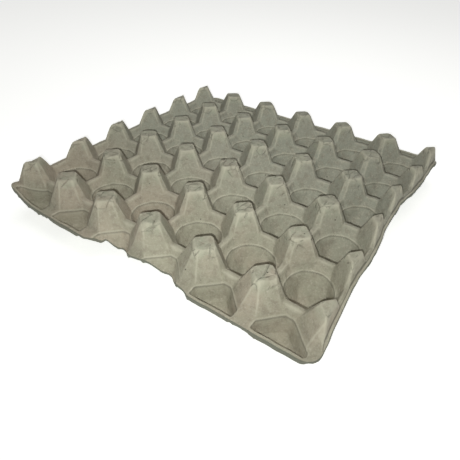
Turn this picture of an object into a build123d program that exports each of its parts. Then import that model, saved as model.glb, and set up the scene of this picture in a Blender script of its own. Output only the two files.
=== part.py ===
from build123d import *
import os

# ---------------------------------------------------------------------------
# Driving dimensions, mm.  X runs along the six-cell side, Y along the
# five-cell side, Z up with the egg side of the tray upward.  A "drop" is a
# height below the post caps; a slope is mm outward per mm downward.
# ---------------------------------------------------------------------------
CELLS_X = 6
CELLS_Y = 5
PITCH_X = 47.0
PITCH_Y = 48.5
WALL = 2.0                  # thickness of the moulded pulp sheet

POST_TOP = 46.0             # height of the post caps above the resting face
SADDLE_DROP = 15.5          # to the ridges that join two posts
CREASE_DROP = 22.0          # to the mouth of each egg bowl and to the end rims
FLOOR_DROP = 44.0           # to the upper face of a bowl floor
SADDLE_WIDTH = 3.8          # flat top of a ridge

CAP_BROAD = 7.0             # post axis to a broad cap side
CAP_NARROW = 8.6            # post axis to a narrow cap side
BROAD_SLOPE = 0.39          # lean of the broad post sides
NARROW_SLOPE = 0.50         # lean of the narrow post sides
END_BROAD_SLOPE = 0.465     # the same on the outward half of the end-row posts
END_NARROW_SLOPE = 0.42
SHOULDER = 2.0              # height of the worn bevel round a cap
SHOULDER_IN = 1.7           # how far the bevel leans in over that height
SIDE_CUT_TOP = -1.5         # side-row posts: outer face at the cap, past the row line
SIDE_CUT_FOOT = 1.4         # side-row posts: outer face at the side rim

BOWL_MOUTH = 17.9           # bowl radius at the crease
FUNNEL_FOOT = 18.6          # cell axis to a narrow funnel side at the crease
BOWL_FLOOR = 12.6           # bowl radius at the floor, before its corner is rounded
BOWL_CORNER = 7.0           # inside radius between bowl wall and floor

SIDE_RIM = 3.3              # rim past the side row line
END_RIM = 28.0              # rim past the end row line
RIM_CORNER = 9.0            # plan radius of the tray corners
SKIRT = 4.0                 # depth of the turned-down rim edge
RAMP_START = 2.0            # side rim starts down to the end rim, past the end row
RAMP_END = 18.0             # and has reached it here
RAMP_WIDTH = 5.5            # width of that sloping piece of rim

POCKET_HALF = 17.0          # half width of an end pocket at the rim
POCKET_NEAR = 4.6           # end row line to the near side of a pocket
POCKET_FAR = 25.8           # end row line to the far side of a pocket
POCKET_LEDGE = 0.4          # rim left between a pocket and a post foot
POCKET_DEPTH = 14.0
POCKET_DRAFT = 3.5          # how far each pocket side leans in over that depth
POCKET_SIDE = 0.3           # shortest straight side left on a pocket

# The -Y end rim is torn away over one stretch.  Each pair gives a distance along X from the
# middle of the tray, and how far past the end row line the sheet still reaches there.
TEAR = [
    (-45.5, 30.0), (-41.0, 25.5), (-38.5, 18.5), (-26.0, 9.5), (-20.0, 11.5), (-6.0, 21.0),
    (-2.0, 21.8), (6.5, 19.4), (21.5, 9.5), (25.5, 9.5), (31.0, 14.5), (40.0, 23.0), (47.5, 25.0),
    (53.5, 30.0),
]

# Levels and spans that follow from the sizes above.
SADDLE_Z = POST_TOP - SADDLE_DROP
END_Z = POST_TOP - CREASE_DROP
FLOOR_Z = POST_TOP - FLOOR_DROP
HALF_X = CELLS_X * PITCH_X / 2.0
HALF_Y = CELLS_Y * PITCH_Y / 2.0
ROOT2 = 2.0 ** 0.5
FUNNEL_DEPTH = CREASE_DROP - SADDLE_DROP
CUT_MARGIN = 6.0            # how far the cutting blocks run past the tray
OVERLAP = 0.5               # how far a bowl cutter reaches up into its funnel


def lean(slope):
    """Level distance that a sheet of unit thickness takes on a sloping side."""
    return (1.0 + slope ** 2) ** 0.5


def frustum(low, low_z, high, high_z):
    """Solid between two matching plan polygons with flat sides."""
    foot = [Vector(x, y, low_z) for x, y in low]
    head = [Vector(x, y, high_z) for x, y in high]
    faces = [Face(Wire.make_polygon(foot, close=True)), Face(Wire.make_polygon(head, close=True))]
    for k in range(len(foot)):
        n = (k + 1) % len(foot)
        faces.append(Face(Wire.make_polygon([foot[k], foot[n], head[n], head[k]], close=True)))
    return Solid(Shell(faces))


def side_profile(points, x_low, x_high):
    """Prism along X with the given (y, z) outline."""
    low = [Vector(x_low, y, z) for y, z in points]
    high = [Vector(x_high, y, z) for y, z in points]
    faces = [Face(Wire.make_polygon(low, close=True)), Face(Wire.make_polygon(high, close=True))]
    for k in range(len(low)):
        n = (k + 1) % len(low)
        faces.append(Face(Wire.make_polygon([low[k], low[n], high[n], high[k]], close=True)))
    return Solid(Shell(faces))


def octagon(broad, narrow_x, near_broad, near_narrow, narrow_far):
    """Post plan whose -Y half may lean differently from its +Y half."""
    far_sum = ROOT2 * broad
    near_sum = ROOT2 * near_broad
    return [
        (narrow_x, far_sum - narrow_x),
        (far_sum - narrow_far, narrow_far),
        (narrow_far - far_sum, narrow_far),
        (-narrow_x, far_sum - narrow_x),
        (-narrow_x, narrow_x - near_sum),
        (near_narrow - near_sum, -near_narrow),
        (near_sum - near_narrow, -near_narrow),
        (narrow_x, narrow_x - near_sum),
    ]


def post_plan(drop, skin, end):
    """Post plan at a drop; skin insets it, end widens its -Y half."""
    broad_slope = END_BROAD_SLOPE if end else BROAD_SLOPE
    narrow_slope = END_NARROW_SLOPE if end else NARROW_SLOPE
    broad = CAP_BROAD + BROAD_SLOPE * drop - skin * lean(BROAD_SLOPE)
    narrow = CAP_NARROW + NARROW_SLOPE * drop - skin * lean(NARROW_SLOPE)
    near_broad = CAP_BROAD + broad_slope * drop - skin * lean(broad_slope)
    near_narrow = CAP_NARROW + narrow_slope * drop - skin * lean(narrow_slope)
    return octagon(broad, narrow, near_broad, near_narrow, narrow)


def cap_plan():
    """Flat top of a cap inside its worn bevel."""
    broad = CAP_BROAD + BROAD_SLOPE * SHOULDER - SHOULDER_IN
    narrow = CAP_NARROW + NARROW_SLOPE * SHOULDER - SHOULDER_IN
    return octagon(broad, narrow, broad, narrow, narrow)


def post(skin, end):
    """Post above the saddles; an end post leans outward on its -Y half."""
    foot = post_plan(SADDLE_DROP + skin, skin, end)
    if skin:
        return frustum(foot, SADDLE_Z - skin, post_plan(skin, skin, end), POST_TOP - skin)
    neck = post_plan(SHOULDER, 0.0, end)
    body = frustum(foot, SADDLE_Z, neck, POST_TOP - SHOULDER)
    return body.fuse(frustum(neck, POST_TOP - SHOULDER, cap_plan(), POST_TOP))


def end_foot(skin):
    """Part of an end post between the end rim and the saddle level, -Y half."""
    low = post_plan(CREASE_DROP + skin, skin, True)
    high = post_plan(SADDLE_DROP + skin, skin, True)
    low_half = [(low[4][0], 0.0)] + low[4:] + [(low[7][0], 0.0)]
    high_half = [(high[4][0], 0.0)] + high[4:] + [(high[7][0], 0.0)]
    return frustum(low_half, END_Z - skin, high_half, SADDLE_Z - skin)


def funnel_plan(drop, skin):
    """Cell plan between posts and ridges; skin grows it outward."""
    slope_x = (PITCH_X / 2.0 - SADDLE_WIDTH / 2.0 - FUNNEL_FOOT) / FUNNEL_DEPTH
    slope_y = (PITCH_Y / 2.0 - SADDLE_WIDTH / 2.0 - FUNNEL_FOOT) / FUNNEL_DEPTH
    above = CREASE_DROP - drop
    reach_x = FUNNEL_FOOT + slope_x * above + skin * lean(slope_x)
    reach_y = FUNNEL_FOOT + slope_y * above + skin * lean(slope_y)
    post_side = ROOT2 * (CAP_BROAD + BROAD_SLOPE * drop - skin * lean(BROAD_SLOPE))
    total = (PITCH_X + PITCH_Y) / 2.0 - post_side
    corner_x = total - reach_y
    corner_y = total - reach_x
    return [
        (reach_x, corner_y), (corner_x, reach_y), (-corner_x, reach_y), (-reach_x, corner_y),
        (-reach_x, -corner_y), (-corner_x, -reach_y), (corner_x, -reach_y), (reach_x, -corner_y),
    ]


def funnel(skin):
    """Eight-sided upper part of a cell, from the saddles down to the crease."""
    low = funnel_plan(CREASE_DROP + skin, skin)
    high = funnel_plan(SADDLE_DROP + skin, skin)
    return frustum(low, END_Z - skin, high, SADDLE_Z - skin)


def bowl(skin):
    """Round lower part of a cell; skin grows it outward."""
    slope = (BOWL_MOUTH - BOWL_FLOOR) / (FLOOR_DROP - CREASE_DROP)
    grow = skin * lean(slope)
    mouth = BOWL_MOUTH + grow - slope * skin
    floor = BOWL_FLOOR + grow - slope * skin
    top = END_Z - skin + OVERLAP
    rim = END_Z - skin
    bottom = FLOOR_Z - skin
    outline = Polyline((0, bottom), (floor, bottom), (mouth, rim), (mouth, top), (0, top), close=True)
    profile = make_face(outline)
    corner = profile.vertices().sort_by(Axis.Y)[:2].sort_by(Axis.X)[-1]
    rounded = fillet(corner, BOWL_CORNER + skin)
    return revolve(Plane.XZ * rounded, Axis.Z)


def pocket_plan(inset):
    """End pocket plan about the row line, its sides drawn in by inset."""
    half = POCKET_HALF - inset
    near = -POCKET_NEAR - inset
    far = -POCKET_FAR + inset
    foot = ROOT2 * (CAP_BROAD + END_BROAD_SLOPE * CREASE_DROP + POCKET_LEDGE + inset)
    side_y = min(half - PITCH_X / 2.0 + foot, -far - POCKET_SIDE)
    near_x = PITCH_X / 2.0 - foot - near
    return [(-half, far), (half, far), (half, -side_y), (near_x, near), (-near_x, near), (-half, -side_y)]


def pocket(skin):
    """Hollow in the end rim between two end posts; skin grows it outward."""
    slope = POCKET_DRAFT / POCKET_DEPTH
    grow = skin * lean(slope)
    low = pocket_plan(POCKET_DRAFT + slope * skin - grow)
    high = pocket_plan(slope * skin - grow)
    return frustum(low, END_Z - POCKET_DEPTH - skin, high, END_Z - skin)


def post_places():
    """Post axes as (column, row, x, y)."""
    for column in range(CELLS_X + 1):
        for row in range(CELLS_Y + 1):
            yield column, row, column * PITCH_X - HALF_X, row * PITCH_Y - HALF_Y


def cell_places():
    """Cell centres as (x, y)."""
    for column in range(CELLS_X):
        for row in range(CELLS_Y):
            yield (column + 0.5) * PITCH_X - HALF_X, (row + 0.5) * PITCH_Y - HALF_Y


def both_ends(shape, x):
    """The shape at x on the -Y end row, and turned round at -x on the +Y one."""
    here = shape.moved(Location((x, -HALF_Y, 0)))
    return [here, here.rotate(Axis.Z, 180)]


def plate(margin, low_z, high_z):
    """Full tray outline grown by margin, between two levels."""
    width = 2 * (HALF_X + SIDE_RIM + margin)
    length = 2 * (HALF_Y + END_RIM + margin)
    outline = RectangleRounded(width, length, max(RIM_CORNER + margin, 1.0))
    return extrude(Plane.XY.offset(low_z) * outline, high_z - low_z).solid()


def cell_field(skin):
    """Raised slab that carries the ridges, with sloping ends to the end rims."""
    half = HALF_X + SIDE_RIM - skin
    slope = (POCKET_NEAR - POCKET_LEDGE - SADDLE_WIDTH / 2.0) / FUNNEL_DEPTH
    grow = skin * lean(slope)
    crest = HALF_Y + SADDLE_WIDTH / 2.0 + slope * skin - grow
    foot = crest + slope * FUNNEL_DEPTH
    low_z = END_Z - skin
    high_z = SADDLE_Z - skin
    return side_profile([(-foot, low_z), (foot, low_z), (crest, high_z), (-crest, high_z)], -half, half)


def ramp_profile(drop):
    """Outline of the whole side rim seen from the side, lowered by drop."""
    start = HALF_Y + RAMP_START
    end = HALF_Y + RAMP_END
    low_z = END_Z - drop
    high_z = SADDLE_Z - drop
    return [(-end, low_z), (end, low_z), (start, high_z), (-start, high_z)]


def side_ramps(skin):
    """Side rims that run down to the end rims past the last posts."""
    outer = HALF_X + SIDE_RIM - skin
    inner = HALF_X + SIDE_RIM - RAMP_WIDTH + skin
    right = side_profile(ramp_profile(skin), inner, outer)
    return [right, right.rotate(Axis.Z, 180)]


def skirt_clearance(skin):
    """Space below the skirt of each side rim."""
    inner = HALF_X + SIDE_RIM - RAMP_WIDTH + skin
    outer = HALF_X + SIDE_RIM + CUT_MARGIN
    right = side_profile(ramp_profile(SKIRT), inner, outer)
    return [right, right.rotate(Axis.Z, 180)]


def side_cuts(skin, floor_z):
    """Wedges that slice the outer half off the side-row posts, down to floor_z."""
    slope = (SIDE_CUT_FOOT - SIDE_CUT_TOP) / SADDLE_DROP
    roof_z = POST_TOP + CUT_MARGIN
    rim_face = HALF_X + SIDE_CUT_FOOT + slope * skin - skin * lean(slope)
    foot = rim_face + slope * (SADDLE_Z - skin - floor_z)
    head = foot - slope * (roof_z - floor_z)
    outer = HALF_X + PITCH_X
    reach = HALF_Y + END_RIM + CUT_MARGIN
    low = [(foot, -reach), (outer, -reach), (outer, reach), (foot, reach)]
    high = [(head, -reach), (outer, -reach), (outer, reach), (head, reach)]
    right = frustum(low, floor_z, high, roof_z)
    return [right, right.rotate(Axis.Z, 180)]


def cell_cutters(skin):
    """Every hollow of the tray as separate cutting solids."""
    cutters = []
    one_funnel = funnel(skin)
    one_bowl = bowl(skin).solid()
    one_pocket = pocket(skin)
    for x, y in cell_places():
        cutters.append(one_funnel.moved(Location((x, y, 0))))
        cutters.append(one_bowl.moved(Location((x, y, 0))))
    for column in range(CELLS_X):
        cutters.extend(both_ends(one_pocket, (column + 0.5) * PITCH_X - HALF_X))
    return cutters


def post_set(skin):
    """Every post, the end-row ones with their outward feet."""
    inner = post(skin, False)
    end = post(skin, True)
    foot = end_foot(skin)
    posts = []
    feet = []
    for column, row, x, y in post_places():
        if 0 < row < CELLS_Y:
            posts.append(inner.moved(Location((x, y, 0))))
        elif row == 0:
            posts.extend(both_ends(end, x))
            feet.extend(both_ends(foot, x))
    trims = side_cuts(skin, END_Z - skin)
    return posts + [piece.cut(*trims) for piece in feet]


def ground(skin):
    """Everything under one face of the sheet: 0 for the upper face, WALL for the lower."""
    floor = -CUT_MARGIN * (2.0 if skin else 1.0)
    base = plate(-skin, floor, END_Z - skin)
    parts = [cell_field(skin)] + side_ramps(skin)
    if skin:
        parts.extend(skirt_clearance(skin))
        parts.append(plate(CUT_MARGIN, floor, END_Z - SKIRT))
    base = base.fuse(*parts)
    base = base.cut(*cell_cutters(skin))
    base = base.fuse(*post_set(skin))
    return base.cut(*side_cuts(skin, SADDLE_Z - skin))


def tear():
    """Everything past the torn edge, from under the tray to over its posts."""
    outer = END_RIM + CUT_MARGIN
    low_z = -CUT_MARGIN
    high_z = POST_TOP + CUT_MARGIN
    line = [(x, -HALF_Y - reach) for x, reach in TEAR]
    plan = line + [(TEAR[-1][0], -HALF_Y - outer), (TEAR[0][0], -HALF_Y - outer)]
    return frustum(plan, low_z, plan, high_z)


def tray():
    """The moulded sheet between its two faces, with its torn end rim."""
    return ground(0.0).cut(ground(WALL)).cut(tear())


os.makedirs("parts", exist_ok=True)
export_step(tray(), "parts/tray.step")
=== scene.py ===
"""Looks of a thirty-cell moulded pulp egg tray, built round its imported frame."""

import logging
import math
from dataclasses import dataclass, field
from enum import Enum

import bpy
import numpy as np
from mathutils import Matrix, Vector
from mathutils.geometry import delaunay_2d_cdt

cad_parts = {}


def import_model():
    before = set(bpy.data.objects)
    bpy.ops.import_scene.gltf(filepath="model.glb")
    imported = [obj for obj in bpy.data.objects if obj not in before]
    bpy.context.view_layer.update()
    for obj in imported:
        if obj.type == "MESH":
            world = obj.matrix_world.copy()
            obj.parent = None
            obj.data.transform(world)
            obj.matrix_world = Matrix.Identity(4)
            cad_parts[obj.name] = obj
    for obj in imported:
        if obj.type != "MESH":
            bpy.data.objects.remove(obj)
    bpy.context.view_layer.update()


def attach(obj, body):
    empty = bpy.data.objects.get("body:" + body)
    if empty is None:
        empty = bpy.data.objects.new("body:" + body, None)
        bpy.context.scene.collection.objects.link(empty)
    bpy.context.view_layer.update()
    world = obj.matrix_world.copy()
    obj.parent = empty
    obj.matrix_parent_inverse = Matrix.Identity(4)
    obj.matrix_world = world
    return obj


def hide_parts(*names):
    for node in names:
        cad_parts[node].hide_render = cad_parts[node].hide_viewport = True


LOG = logging.getLogger("egg_tray")
MM = 0.001
Array = np.ndarray
Tree = bpy.types.NodeTree
Socket = bpy.types.NodeSocket


# --------------------------------------------------------------------------
# Small numeric helpers
# --------------------------------------------------------------------------
def soft_min(first: Array, second: Array, width: float) -> Array:
    """Blend the smaller of two height fields over a short band.

    Args:
        first: Heights, mm.
        second: Heights, mm.
        width: Height difference over which the two blend, mm.

    Returns:
        The blended heights, mm.
    """
    share = np.clip(0.5 + 0.5 * (second - first) / width, 0.0, 1.0)
    return second * (1 - share) + first * share - width * share * (1 - share)


def soft_max(first: Array, second: Array, width: float) -> Array:
    """Blend the larger of two height fields over a short band.

    Args:
        first: Heights, mm.
        second: Heights, mm.
        width: Height difference over which the two blend, mm.

    Returns:
        The blended heights, mm.
    """
    return -soft_min(-first, -second, width)


def smooth_step(values: Array, low: float, high: float) -> Array:
    """Ease from 0 to 1 between two limits.

    Args:
        values: Input values.
        low: Value where the result leaves 0.
        high: Value where the result reaches 1.

    Returns:
        Eased values between 0 and 1.
    """
    share = np.clip((values - low) / (high - low), 0.0, 1.0)
    return share * share * (3 - 2 * share)


@dataclass(frozen=True)
class Ripple:
    """One layer of noise: its shift along X and Y, its coarsest grain, mm, and its octaves."""

    shift_x: float
    shift_y: float
    grain: float
    octaves: int


class LumpNoise:
    """Smooth seeded noise over the tray plan."""

    SIZE = 256
    # Where the tray's centre lies on the lattice, and how far each octave moves on, mm.
    START = (97.0, 61.0)
    OCTAVE_SHIFT = (31.7, -17.3)

    def __init__(self, seed: int) -> None:
        """Fill the lattice of random values.

        Args:
            seed: Seed of the random generator.
        """
        self.table = np.random.default_rng(seed).uniform(-1, 1, (self.SIZE, self.SIZE))

    def pick(self, column: Array, row: Array) -> Array:
        """Look up lattice values, the same ones for the same column and row."""
        return self.table[column % self.SIZE, row % self.SIZE]

    def at(self, x: Array, y: Array, grain: float) -> Array:
        """Sample one octave.

        Args:
            x: Positions along X, mm.
            y: Positions along Y, mm.
            grain: Lattice spacing, mm.

        Returns:
            Values between -1 and 1.
        """
        column = np.asarray(x, float) / grain + self.START[0]
        row = np.asarray(y, float) / grain + self.START[1]
        i = np.floor(column).astype(int)
        j = np.floor(row).astype(int)
        s = column - i
        t = row - j
        s = s * s * (3 - 2 * s)
        t = t * t * (3 - 2 * t)
        near = self.pick(i, j) * (1 - s) + self.pick(i + 1, j) * s
        far = self.pick(i, j + 1) * (1 - s) + self.pick(i + 1, j + 1) * s
        return near * (1 - t) + far * t

    def stack(self, x: Array, y: Array, ripple: Ripple) -> Array:
        """Sum octaves that halve in size and strength.

        Args:
            x: Positions along X, mm.
            y: Positions along Y, mm.
            ripple: Shift, grain and octaves of the layer.

        Returns:
            Values between about -1.5 and 1.5.
        """
        step_x, step_y = self.OCTAVE_SHIFT
        x = x + ripple.shift_x
        y = y + ripple.shift_y
        total = 0.0
        for k in range(ripple.octaves):
            total = total + self.at(x + step_x * k, y + step_y * k, ripple.grain / 2**k) / 2**k
        return total


# --------------------------------------------------------------------------
# Form of the moulded sheet, all sizes in mm
# --------------------------------------------------------------------------
@dataclass(frozen=True)
class TraySizes:
    """Sizes of the tray, as in its solid.

    Only the half width of the outermost pockets and the slope of each pocket's far wall are
    its own. A drop is a height below the post caps, a slope is mm outward per mm down, and the
    broad sizes lie across a post's corners where the narrow ones lie across its flat sides.
    """

    # Grid of cells, with a post at every corner, and the sheet's thickness.
    cells_x: int = 6
    cells_y: int = 5
    pitch_x: float = 47.0
    pitch_y: float = 48.5
    sheet: float = 2.0
    # Levels: post caps above the table, then ridge tops, bowl mouths and bowl floors below them.
    post_top: float = 46.0
    saddle_drop: float = 15.5
    crease_drop: float = 22.0
    floor_drop: float = 44.0
    saddle_half: float = 1.9
    # Posts: half widths of the cap and slopes of the faces, and where the side posts are cut.
    cap_broad: float = 7.0
    cap_narrow: float = 8.6
    broad_slope: float = 0.39
    narrow_slope: float = 0.50
    end_broad_slope: float = 0.465
    end_narrow_slope: float = 0.42
    side_cut_top: float = -1.5
    side_cut_foot: float = 1.4
    # Cells: radii of the round bowl and half width of the funnel above it.
    bowl_mouth: float = 17.9
    funnel_foot: float = 18.6
    bowl_floor: float = 12.6
    bowl_corner: float = 7.0
    # Rims past the outer posts, and the ramps that lead the side rims down to the end rims.
    end_wall_run: float = 2.4
    side_rim: float = 3.3
    end_rim: float = 28.0
    rim_corner: float = 9.0
    ramp_start: float = 2.0
    ramp_end: float = 18.0
    ramp_width: float = 5.5
    # Pockets in the end rims, from the post row outward.
    pocket_half: float = 17.0
    pocket_half_corner: float = 19.6
    pocket_near: float = 4.6
    pocket_far: float = 25.8
    pocket_foot: float = 17.6
    pocket_depth: float = 14.0
    pocket_slope: float = 0.25
    pocket_far_slope: float = 0.5

    @property
    def half_x(self) -> float:
        """Post grid half span along X."""
        return self.cells_x * self.pitch_x / 2

    @property
    def half_y(self) -> float:
        """Post grid half span along Y."""
        return self.cells_y * self.pitch_y / 2


@dataclass(frozen=True)
class Survey:
    """Upper face over some plan positions, mm.

    The mouth is the distance inside the nearest bowl or pocket mouth, and the edge is the
    distance from the nearest upright edge of a post.
    """

    height: Array
    mouth: Array
    edge: Array


@dataclass(frozen=True)
class TrayForm:
    """Upper face of the tray as a height field over its plan."""

    sizes: TraySizes

    # Height differences over which two faces run into each other, mm.
    ridge_blend: float = 1.2
    ramp_blend: float = 0.8
    mouth_blend: float = 0.6
    ground_blend: float = 0.6
    funnel_blend: float = 0.5
    side_blend: float = 0.8
    cap_blend: float = 1.5
    cut_blend: float = 6.0
    pocket_corner: float = 0.9
    pocket_floor: float = 4.0

    # The share of its quarter circle that a bowl's corner may use.
    arc_limit: float = 0.999
    # Mm down per mm inward on the inner flank of a side ramp.
    ramp_flank: float = 3.0
    # How far past the outer ridges the cells still count, mm.
    cell_reach: float = 2.0
    # How much faster a post falls once it is below the crease level.
    post_foot_fall: float = 4.0
    # How far below the ground a post's edge still counts as one, mm.
    edge_hold: float = 0.2
    # A distance that stands for nothing near, mm.
    clear: float = 9.0

    def fold(self, x: Array, y: Array) -> tuple[Array, ...]:
        """Reduce plan positions to distances inside one cell.

        Args:
            x: Positions along X.
            y: Positions along Y.

        Returns:
            Distances from the cell centre, from the nearest post axis, and past the outer rows.
        """
        s = self.sizes
        col = np.clip(np.floor((x + s.half_x) / s.pitch_x), 0, s.cells_x - 1)
        row = np.clip(np.floor((y + s.half_y) / s.pitch_y), 0, s.cells_y - 1)
        u = np.abs(x - (col + 0.5) * s.pitch_x + s.half_x)
        v = np.abs(y - (row + 0.5) * s.pitch_y + s.half_y)
        p = np.abs(u - s.pitch_x / 2)
        q = np.abs(v - s.pitch_y / 2)
        return u, v, p, q, np.abs(x) - s.half_x, np.abs(y) - s.half_y

    def bowl(self, r: Array) -> Array:
        """Drop of the round bowl under one cell.

        Args:
            r: Distances from the cell axis.

        Returns:
            Heights relative to the post caps.
        """
        s = self.sizes
        slope = (s.bowl_mouth - s.bowl_floor) / (s.floor_drop - s.crease_drop)
        run = math.sqrt(1 + slope * slope)
        centre = s.bowl_floor + slope * s.bowl_corner - s.bowl_corner * run
        meet = centre + s.bowl_corner / run
        arc_x = np.clip(r - centre, 0, s.bowl_corner * self.arc_limit)
        arc = s.bowl_corner - np.sqrt(s.bowl_corner**2 - arc_x**2)
        wall = (r - s.bowl_floor) / slope
        return -s.floor_drop + np.where(r < meet, arc, wall)

    def ground(self, x: Array, dx: Array, dy: Array) -> Array:
        """Ridges and rims before cells are sunk and posts are raised.

        Args:
            x: Positions along X.
            dx: Distances past the outer columns.
            dy: Distances past the outer rows.

        Returns:
            Heights relative to the post caps.
        """
        s = self.sizes
        fall = s.crease_drop - s.saddle_drop
        end_wall = -s.saddle_drop - (dy - s.saddle_half) * fall / s.end_wall_run
        field = soft_min(np.full_like(x, -s.saddle_drop), end_wall, self.ridge_blend)
        ramp_line = -s.saddle_drop - (dy - s.ramp_start) * fall / (s.ramp_end - s.ramp_start)
        ramp = soft_min(np.full_like(x, -s.saddle_drop), ramp_line, self.ramp_blend)
        inside = (s.side_rim - s.ramp_width - dx) * self.ramp_flank
        ramp = ramp - np.maximum(inside, 0)
        top = soft_max(field, ramp, self.ramp_blend)
        return soft_max(top, np.full_like(x, -s.crease_drop), self.ridge_blend)

    def cells(self, u: Array, v: Array) -> Array:
        """Surface of the sunk egg cells.

        Args:
            u: Distances from the cell centre along X.
            v: Distances from the cell centre along Y.

        Returns:
            Heights relative to the post caps.
        """
        s = self.sizes
        fall = s.crease_drop - s.saddle_drop
        lip = np.full_like(u, -s.crease_drop)
        r = np.hypot(u, v)
        low = soft_min(self.bowl(r), lip, self.mouth_blend)
        slope_x = (s.pitch_x / 2 - s.saddle_half - s.funnel_foot) / fall
        slope_y = (s.pitch_y / 2 - s.saddle_half - s.funnel_foot) / fall
        side_x = -s.crease_drop + (u - s.funnel_foot) / slope_x
        side_y = -s.crease_drop + (v - s.funnel_foot) / slope_y
        return soft_max(low, soft_max(side_x, side_y, self.ridge_blend), self.funnel_blend)

    def posts(self, p: Array, q: Array, dx: Array, dy: Array) -> tuple[Array, Array]:
        """Surface of the posts, ending at the crease level.

        Args:
            p: Distances from the nearest post axis along X.
            q: Distances from the nearest post axis along Y.
            dx: Distances past the outer columns.
            dy: Distances past the outer rows.

        Returns:
            Heights relative to the post caps, and plan distances from the nearest upright edge.
        """
        s = self.sizes
        outward = dy > 0
        broad_slope = np.where(outward, s.end_broad_slope, s.broad_slope)
        narrow_slope = np.where(outward, s.end_narrow_slope, s.narrow_slope)
        broad = -((p + q) / math.sqrt(2) - s.cap_broad) / broad_slope
        along_x = -(p - s.cap_narrow) / s.narrow_slope
        along_y = -(q - s.cap_narrow) / narrow_slope
        low, middle, _ = np.sort(np.stack([broad, along_x, along_y]), axis=0)
        edge = (middle - low) * s.broad_slope
        sides = soft_min(broad, soft_min(along_x, along_y, self.side_blend), self.side_blend)
        top = soft_min(np.zeros_like(p), sides, self.cap_blend)
        cut_slope = (s.side_cut_foot - s.side_cut_top) / s.saddle_drop
        cut = -(dx - s.side_cut_top) / cut_slope
        top = soft_min(top, cut, self.cut_blend)
        base = -s.crease_drop
        return np.where(top > base, top, base + (top - base) * self.post_foot_fall), edge

    def pockets(self, u: Array, p: Array, dx: Array, dy: Array) -> tuple[Array, Array]:
        """Surface of the hollows in the end rims.

        Args:
            u: Distances from the cell centre along X.
            p: Distances from the nearest post axis along X.
            dx: Distances past the outer columns.
            dy: Distances past the outer rows.

        Returns:
            Heights relative to the post caps, and plan distances inside a pocket's mouth.
        """
        s = self.sizes
        top = -s.crease_drop
        corner = self.pocket_corner
        lean = s.pocket_slope / s.pocket_far_slope
        ends = soft_min(dy - s.pocket_near, (s.pocket_far - dy) * lean, corner)
        half = np.where(dx > -s.pitch_x / 2, s.pocket_half_corner, s.pocket_half)
        sides = soft_min(half - u, (p + dy) / math.sqrt(2) - s.pocket_foot, corner)
        inset = soft_min(ends, sides, corner)
        walls = top - inset / s.pocket_slope
        return soft_max(walls, np.full_like(u, top - s.pocket_depth), self.pocket_floor), inset

    def survey(self, x: Array, y: Array) -> Survey:
        """Upper face before any wear.

        Args:
            x: Positions along X.
            y: Positions along Y.

        Returns:
            Heights above the resting plane with the distances that mark it.
        """
        s = self.sizes
        u, v, p, q, dx, dy = self.fold(x, y)
        top = self.ground(x, dx, dy)
        reach = s.saddle_half + self.cell_reach
        sunk = np.where(dy < reach, self.cells(u, v), 0.0)
        sunk = np.where(dx > reach, 0.0, sunk)
        top = soft_min(top, sunk, self.ground_blend)
        pocket, inset = self.pockets(u, p, dx, dy)
        top = soft_min(top, pocket, self.ground_blend)
        post, edge = self.posts(p, q, dx, dy)
        edge = np.where(post > top - self.edge_hold, edge, self.clear)
        edge = np.where(post > -s.crease_drop, edge, self.clear)
        top = soft_max(top, post, self.ground_blend)
        mouth = np.where(dy > s.saddle_half, inset, s.bowl_mouth - np.hypot(u, v))
        return Survey(top + s.post_top, np.clip(mouth, -self.clear, self.clear), edge)


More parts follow.
